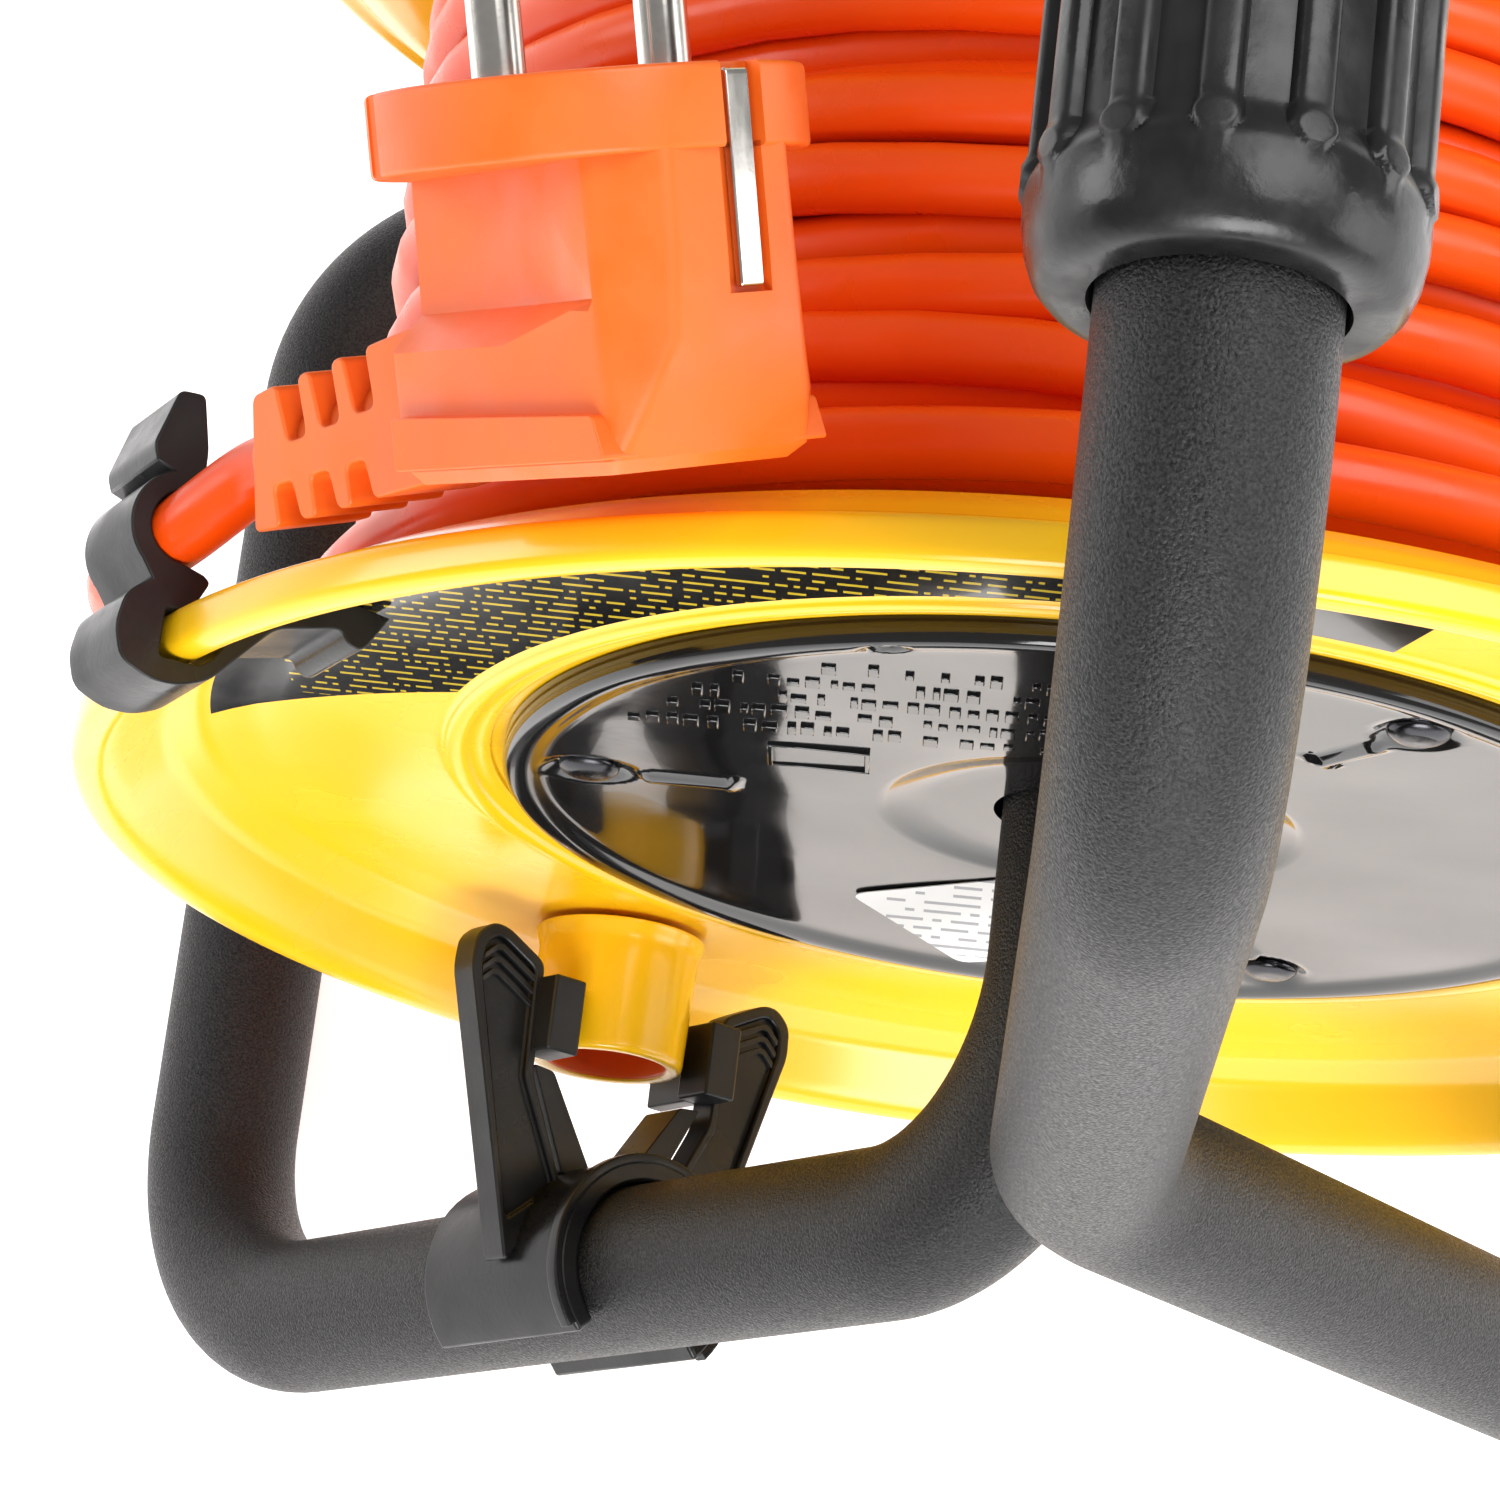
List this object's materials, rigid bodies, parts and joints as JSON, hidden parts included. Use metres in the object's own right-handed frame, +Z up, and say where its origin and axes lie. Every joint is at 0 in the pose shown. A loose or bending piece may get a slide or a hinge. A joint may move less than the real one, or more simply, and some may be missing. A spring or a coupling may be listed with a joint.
{
  "type": "extension cord reel",
  "caption": "Extension cord reel: a drum with socket panel, crank knob and slide lock, cantilevered on a bent tube frame with a carrying grip; cord wound on the drum, plug parked on it.",
  "frame": {"origin": "on the floor, under the middle of the frame's and drum's bounding box", "axes": "+Z up, +Y along the axle from the crank-knob side to the socket side, X across between the two floor runs"},
  "size_m": [0.2416, 0.1808, 0.322],
  "materials": {
    "frame": "textured black powder coat, semi-matt",
    "zinc_steel": "bright zinc plate",
    "grip_rubber": "semi-matt moulded rubber, ribbed along its length",
    "gland_rubber": "matt",
    "black_plastic": "fine moulded texture",
    "drum_yellow": "smooth glossy moulding",
    "cover_gloss": "high gloss black",
    "orange_plastic": "satin orange moulding",
    "cord_sheath": "satin orange sheath",
    "nickel": "bright nickel plate",
    "red_plastic": "satin",
    "terminal_white": "matt",
    "brass": "bright"
  },
  "bodies": {
    "frame": {"frame_tube_left": "frame", "frame_tube_right": "frame", "tube_joiner": "zinc_steel", "handle_grip": "grip_rubber", "handle_tube_cap": "black_plastic", "axle_cap": "black_plastic", "axle_screw": "zinc_steel"},
    "crank_knob": {"crank_knob": "drum_yellow"},
    "drum_lock": {"drum_lock": "black_plastic"},
    "reset_button": {"reset_button": "red_plastic"},
    "lid_1": {"socket_lid_1": "black_plastic"},
    "lid_2": {"socket_lid_2": "black_plastic"},
    "lid_3": {"socket_lid_3": "black_plastic"},
    "lid_4": {"socket_lid_4": "black_plastic"},
    "drum": {"thrust_washer": "zinc_steel", "drum_screw_1": "zinc_steel", "drum_screw_2": "zinc_steel", "drum_screw_3": "zinc_steel", "drum_screw_4": "zinc_steel", "cover_screw_1": "zinc_steel", "cover_screw_2": "zinc_steel", "cover_screw_3": "zinc_steel", "panel_screw_1": "zinc_steel", "panel_screw_2": "zinc_steel", "panel_screw_3": "zinc_steel", "panel_screw_4": "zinc_steel", "lid_pin_1": "zinc_steel", "lid_pin_2": "zinc_steel", "lid_pin_3": "zinc_steel", "lid_pin_4": "zinc_steel", "cord_gland": "gland_rubber", "hub_bush": "black_plastic", "cord_clip": "black_plastic", "socket_panel": "black_plastic", "socket_1": "black_plastic", "socket_2": "black_plastic", "socket_3": "black_plastic", "socket_4": "black_plastic", "thermal_cutout": "black_plastic", "drum_rear": "drum_yellow", "drum_front": "drum_yellow", "rear_cover": "cover_gloss", "knob_rivet": "orange_plastic", "plug_body": "orange_plastic", "strain_relief": "orange_plastic", "cord_winding": "cord_sheath", "cord_tail": "cord_sheath", "earth_pin_1": "nickel", "earth_pin_2": "nickel", "earth_pin_3": "nickel", "earth_pin_4": "nickel", "plug_pin_1": "nickel", "plug_pin_2": "nickel", "plug_earth_strip_1": "nickel", "plug_earth_strip_2": "nickel", "terminal_block": "terminal_white", "terminal_screw_1": "brass", "terminal_screw_2": "brass", "terminal_screw_3": "brass"}
  },
  "joints": [
    {"name": "drum_spin", "type": "hinge", "parent": "frame", "child": "drum", "pos_m": [-0.002, -0.0475, 0.142], "axis": [0, 1, 0], "continuous": true},
    {"name": "crank_knob_spin", "type": "hinge", "parent": "drum", "child": "crank_knob", "pos_m": [-0.05645, -0.0495, 0.07595], "axis": [0, 1, 0], "continuous": true},
    {"name": "drum_lock_slide", "type": "slide", "parent": "frame", "child": "drum_lock", "axis": [0.6362, 0, 0.7715], "range_m": [0, 0.024]},
    {"name": "lid_1_hinge", "type": "hinge", "parent": "drum", "child": "lid_1", "pos_m": [0.03887, 0.0726, 0.18287], "axis": [0.7071, 0, -0.7071], "range_deg": [0, 100], "stiffness_Nm_per_rad": 0.012, "springref_deg": -28.65},
    {"name": "lid_2_hinge", "type": "hinge", "parent": "drum", "child": "lid_2", "pos_m": [0.03887, 0.0726, 0.10113], "axis": [-0.7071, 0, -0.7071], "range_deg": [0, 100], "stiffness_Nm_per_rad": 0.012, "springref_deg": -28.65},
    {"name": "lid_3_hinge", "type": "hinge", "parent": "drum", "child": "lid_3", "pos_m": [-0.04287, 0.0726, 0.10113], "axis": [-0.7071, 0, 0.7071], "range_deg": [0, 100], "stiffness_Nm_per_rad": 0.012, "springref_deg": -28.65},
    {"name": "lid_4_hinge", "type": "hinge", "parent": "drum", "child": "lid_4", "pos_m": [-0.04287, 0.0726, 0.18287], "axis": [0.7071, 0, 0.7071], "range_deg": [0, 100], "stiffness_Nm_per_rad": 0.012, "springref_deg": -28.65},
    {"name": "reset_press", "type": "slide", "parent": "drum", "child": "reset_button", "axis": [0, -1, 0], "range_m": [0, 0.002], "stiffness_N_per_m": 400, "springref_m": -0.002}
  ]
}
